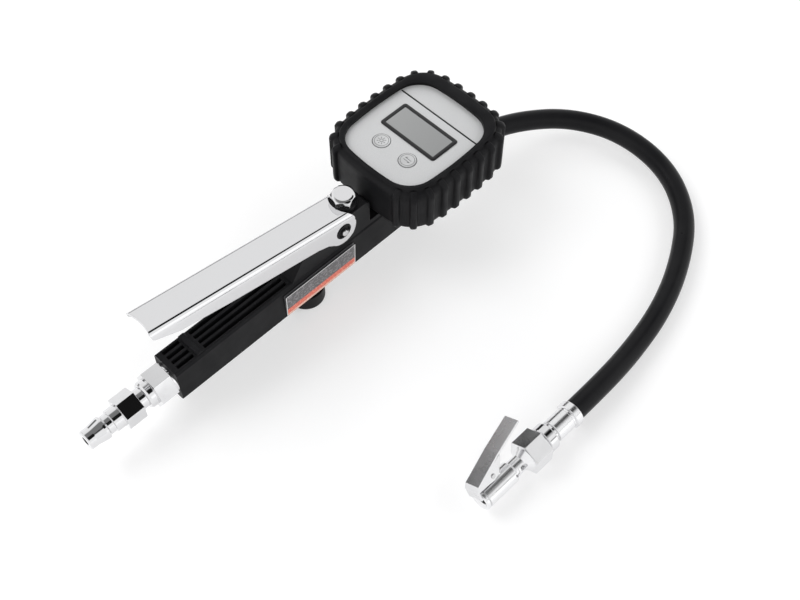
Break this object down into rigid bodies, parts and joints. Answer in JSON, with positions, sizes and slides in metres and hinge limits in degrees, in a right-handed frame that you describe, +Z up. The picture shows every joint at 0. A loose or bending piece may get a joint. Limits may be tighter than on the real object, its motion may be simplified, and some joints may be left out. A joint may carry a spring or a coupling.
{
  "type": "tyre inflator with gauge",
  "caption": "Hand-held tyre inflator: black grip with a chromed squeeze lever, boxed digital gauge in a ribbed rubber boot, air plug, and a short hose with a lever chuck.",
  "frame": {"origin": "middle of the gun in plan, on the surface it rests on", "axes": "+X along the grip towards the hose outlet, +Z up out of the gauge face, +Y to the left of the gun"},
  "size_m": [0.4566, 0.2568, 0.1004],
  "materials": {
    "black_plastic": "satin",
    "printed_label": "semi gloss",
    "display_grey": "satin",
    "window": "clear",
    "seal_rubber": "matte",
    "boot_rubber": "matte",
    "hose_rubber": "satin",
    "steel": "satin",
    "brass": "satin",
    "chrome": "polished",
    "silver_face": "fine grained satin",
    "silver_key": "satin",
    "board_green": "satin",
    "cell_metal": "gloss"
  },
  "bodies": {
    "gun": {"air_hose": "hose_rubber", "battery_cells": "cell_metal", "battery_door": "black_plastic", "board_screws": "steel", "button_switches": "black_plastic", "chuck_body": "chrome", "chuck_pin": "steel", "chuck_seal": "seal_rubber", "chuck_spring": "steel", "circuit_board": "board_green", "coupler_plug": "chrome", "display_frame": "black_plastic", "display_module": "display_grey", "display_window": "window", "door_screws": "steel", "face_plate": "silver_face", "front_ferrule": "chrome", "gauge_housing": "black_plastic", "gauge_stem": "chrome", "handle_body": "black_plastic", "hose_tail": "chrome", "inlet_bushing": "chrome", "inlet_filter": "brass", "outlet_nipple": "chrome", "pivot_bushes": "black_plastic", "pivot_pin": "steel", "plug_seal": "seal_rubber", "plunger_gland": "brass", "pressure_sensor": "steel", "rear_ferrule": "chrome", "rubber_boot": "boot_rubber", "side_label": "printed_label", "stem_nut": "brass", "valve_depressor": "brass", "valve_plug": "black_plastic", "valve_spring": "steel", "vent_cap": "chrome", "vent_seal": "seal_rubber", "vent_washer": "black_plastic"},
    "lever": {"squeeze_lever": "chrome"},
    "plunger": {"valve_plunger": "steel", "valve_poppet": "brass", "poppet_seal": "seal_rubber"},
    "light_key": {"light_button": "silver_key"},
    "unit_key": {"unit_button": "silver_key"},
    "chuck_thumb_lever": {"chuck_lever": "chrome"}
  },
  "joints": [
    {"name": "lever_press", "type": "hinge", "parent": "gun", "child": "lever", "pos_m": [0.0372, 0, 0.059], "axis": [0, -1, 0], "range_deg": [0, 10], "stiffness_Nm_per_rad": 1, "springref_deg": -17.19},
    {"name": "plunger_slide", "type": "slide", "parent": "gun", "child": "plunger", "axis": [0, 0, -1], "range_m": [0, 0.0052], "deforming": ["valve_spring"]},
    {"name": "light_press", "type": "slide", "parent": "gun", "child": "light_key", "axis": [0, 0, -1], "range_m": [0, 0.0007], "stiffness_N_per_m": 200, "springref_m": -0.001},
    {"name": "unit_press", "type": "slide", "parent": "gun", "child": "unit_key", "axis": [0, 0, -1], "range_m": [0, 0.0007], "stiffness_N_per_m": 200, "springref_m": -0.001},
    {"name": "chuck_lever_press", "type": "hinge", "parent": "gun", "child": "chuck_thumb_lever", "pos_m": [-0.0117, -0.19017, 0.02275], "axis": [0, 0.8192, -0.5736], "range_deg": [0, 12], "stiffness_Nm_per_rad": 0.5, "springref_deg": -17.19}
  ],
  "couplings": [
    {"joint": "plunger_slide", "follows": "lever_press", "m_per_rad": 0.0291}
  ]
}
